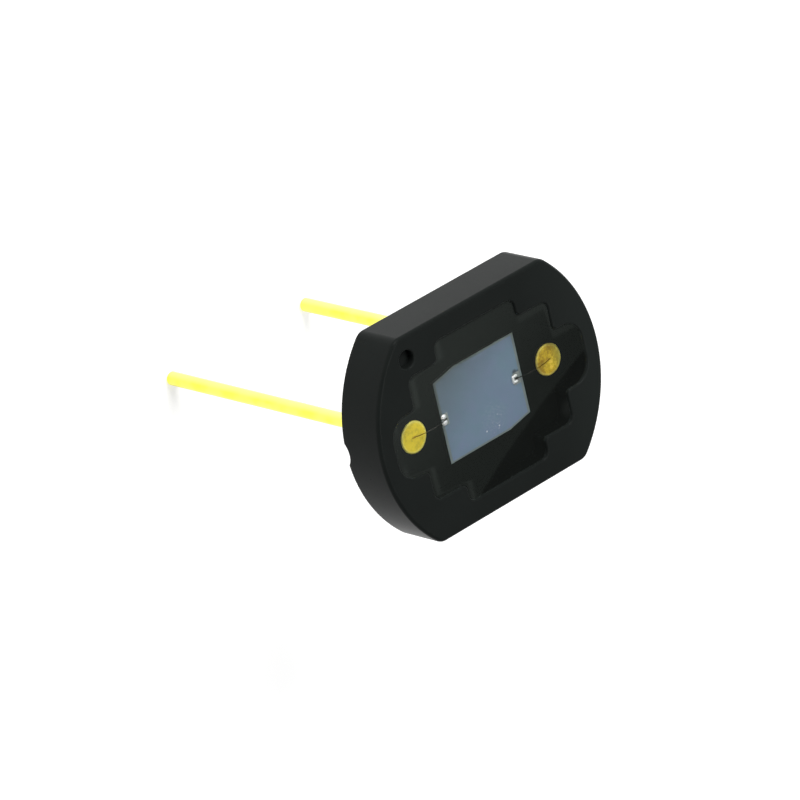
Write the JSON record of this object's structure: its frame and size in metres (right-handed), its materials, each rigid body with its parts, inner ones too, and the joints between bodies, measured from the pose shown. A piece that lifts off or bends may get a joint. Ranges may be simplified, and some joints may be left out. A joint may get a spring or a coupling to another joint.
{
  "type": "silicon photodiode",
  "caption": "Silicon photodiode: a rectangular chip under clear resin in a black flat-sided ceramic disc, with gold-plated nail-head pins as straight leads.",
  "frame": {"origin": "middle of the ceramic disc's flat back face, which seats on the board, halfway between the leads", "axes": "+Z along the optical axis, out of the light-sensitive front; X through both leads, anode on -X; Y at right angles to the two flats; leads run to -Z"},
  "size_m": [0.0082, 0.006, 0.0106],
  "materials": {
    "ceramic": "black fired ceramic, matte, faintly grained",
    "gold_plate": "gold plating, satin on the coined heads",
    "silicon": "blue-grey coated silicon with a narrow grey-green border",
    "adhesive": "dark adhesive",
    "bond_metal": "bright bonding aluminium",
    "clear_resin": "clear glossy resin"
  },
  "bodies": {
    "root": {"package_body": "ceramic", "lead_anode": "gold_plate", "lead_cathode": "gold_plate", "photodiode_chip": "silicon", "die_attach": "adhesive", "bond_pad_anode": "bond_metal", "bond_pad_cathode": "bond_metal", "bond_wire_anode": "bond_metal", "bond_wire_cathode": "bond_metal", "resin_fill": "clear_resin"}
  },
  "joints": []
}
